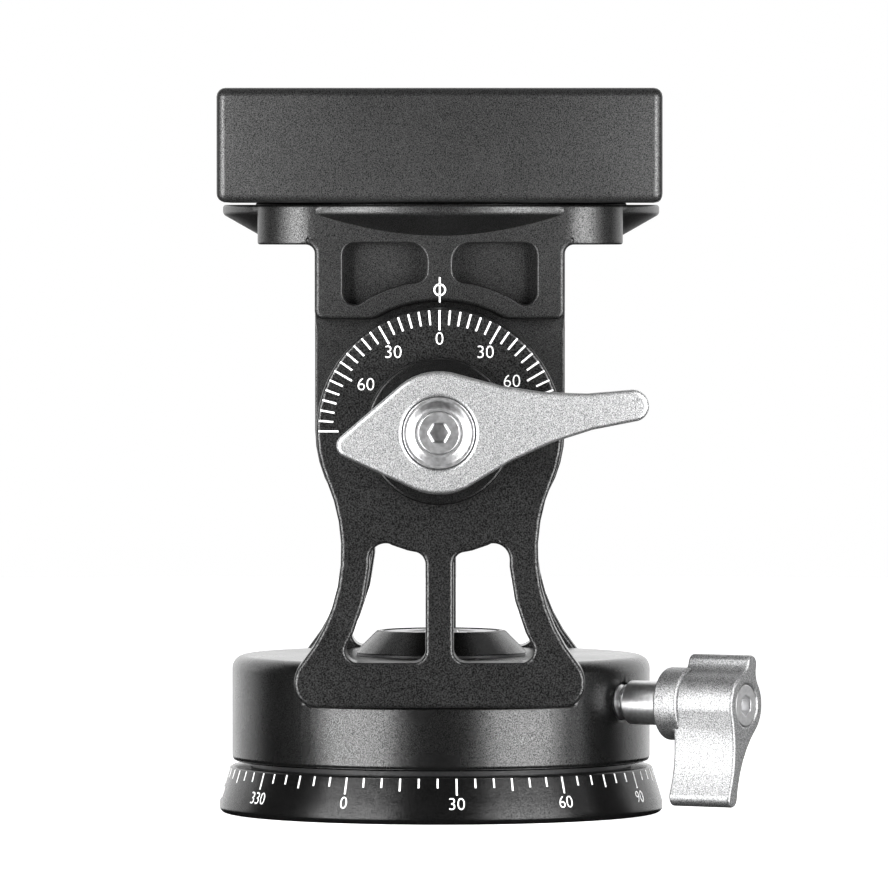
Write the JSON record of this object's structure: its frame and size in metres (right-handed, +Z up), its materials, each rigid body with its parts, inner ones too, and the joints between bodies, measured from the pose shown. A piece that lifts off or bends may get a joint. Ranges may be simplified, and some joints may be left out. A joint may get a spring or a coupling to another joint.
{
  "type": "two-way pan tilt head",
  "caption": "Tripod head with a panning scale base, a fork that carries a tilting bracket with an angle dial, lock levers, a winged pan knob and a dovetail plate clamp.",
  "frame": {"origin": "centre of the base's underside, at the mouth of the tripod thread", "axes": "+Z up along the pan axis, -Y towards the tilt dial, +X to the right of the dial; the tilt axis runs along Y"},
  "size_m": [0.0742, 0.0847, 0.0992],
  "materials": {
    "black_anodised": "fine blasted, black anodised",
    "blasted_aluminium": "bead blasted, clear anodised",
    "steel": "turned stainless steel",
    "polymer": "dark glide polymer",
    "bronze": "sintered bronze"
  },
  "bodies": {
    "base": {"base_ring": "black_anodised", "pan_spindle": "steel", "tripod_bush": "steel", "spindle_screws": "steel", "lower_glide_ring": "polymer", "upper_glide_ring": "polymer", "pan_cap": "black_anodised", "pan_cap_screw": "steel"},
    "pan": {"turntable": "black_anodised", "front_upright": "black_anodised", "rear_upright": "black_anodised", "upright_screws": "steel", "tilt_axle": "steel", "front_friction_disc": "polymer", "rear_friction_disc": "polymer", "front_seat_ring": "black_anodised", "rear_seat_ring": "black_anodised"},
    "tilt": {"tilt_bracket": "black_anodised", "front_bush": "bronze", "rear_bush": "bronze", "clamp_body": "black_anodised", "clamp_bolt": "steel", "clamp_dowels": "steel", "clamp_guide_pins": "steel"},
    "clamp_jaw": {"clamp_jaw": "black_anodised", "clamp_washer": "steel"},
    "clamp_knob": {"clamp_knob": "black_anodised", "clamp_spindle": "steel"},
    "front_lever": {"front_lever": "blasted_aluminium", "front_lever_insert": "steel", "front_lever_screw": "steel"},
    "rear_lever": {"rear_lever": "blasted_aluminium", "rear_lever_insert": "steel", "rear_lever_screw": "steel"},
    "pan_brake": {"pan_brake_pad": "bronze"},
    "pan_knob": {"pan_knob": "blasted_aluminium", "pan_knob_stem": "steel", "pan_knob_screw": "steel"}
  },
  "joints": [
    {"name": "pan", "type": "hinge", "parent": "base", "child": "pan", "pos_m": [0, 0, 0.0142], "axis": [0, 0, 1], "continuous": true},
    {"name": "tilt", "type": "hinge", "parent": "pan", "child": "tilt", "pos_m": [0, 0, 0.053], "axis": [0, 1, 0], "range_deg": [-90, 90]},
    {"name": "front_lever_turn", "type": "hinge", "parent": "pan", "child": "front_lever", "pos_m": [0, -0.035, 0.053], "axis": [0, -1, 0], "range_deg": [0, 90]},
    {"name": "rear_lever_turn", "type": "hinge", "parent": "pan", "child": "rear_lever", "pos_m": [0, 0.035, 0.053], "axis": [0, 1, 0], "range_deg": [0, 90]},
    {"name": "pan_brake_slide", "type": "slide", "parent": "pan", "child": "pan_brake", "axis": [0.866, -0.5, 0], "range_m": [0, 0.00022]},
    {"name": "pan_knob_turn", "type": "hinge", "parent": "pan_brake", "child": "pan_knob", "pos_m": [0.03464, -0.02, 0.0158], "axis": [0.866, -0.5, 0], "range_deg": [0, 101]},
    {"name": "clamp_jaw_slide", "type": "slide", "parent": "tilt", "child": "clamp_jaw", "axis": [0, 1, 0], "range_m": [0, 0.0045]},
    {"name": "clamp_knob_turn", "type": "hinge", "parent": "clamp_jaw", "child": "clamp_knob", "pos_m": [0, 0.036, 0.0904], "axis": [0, 1, 0], "range_deg": [0, 1621]}
  ],
  "couplings": [
    {"joint": "pan_knob_turn", "follows": "pan_brake_slide", "rad_per_m": 7854},
    {"joint": "clamp_knob_turn", "follows": "clamp_jaw_slide", "rad_per_m": 6283.2}
  ]
}
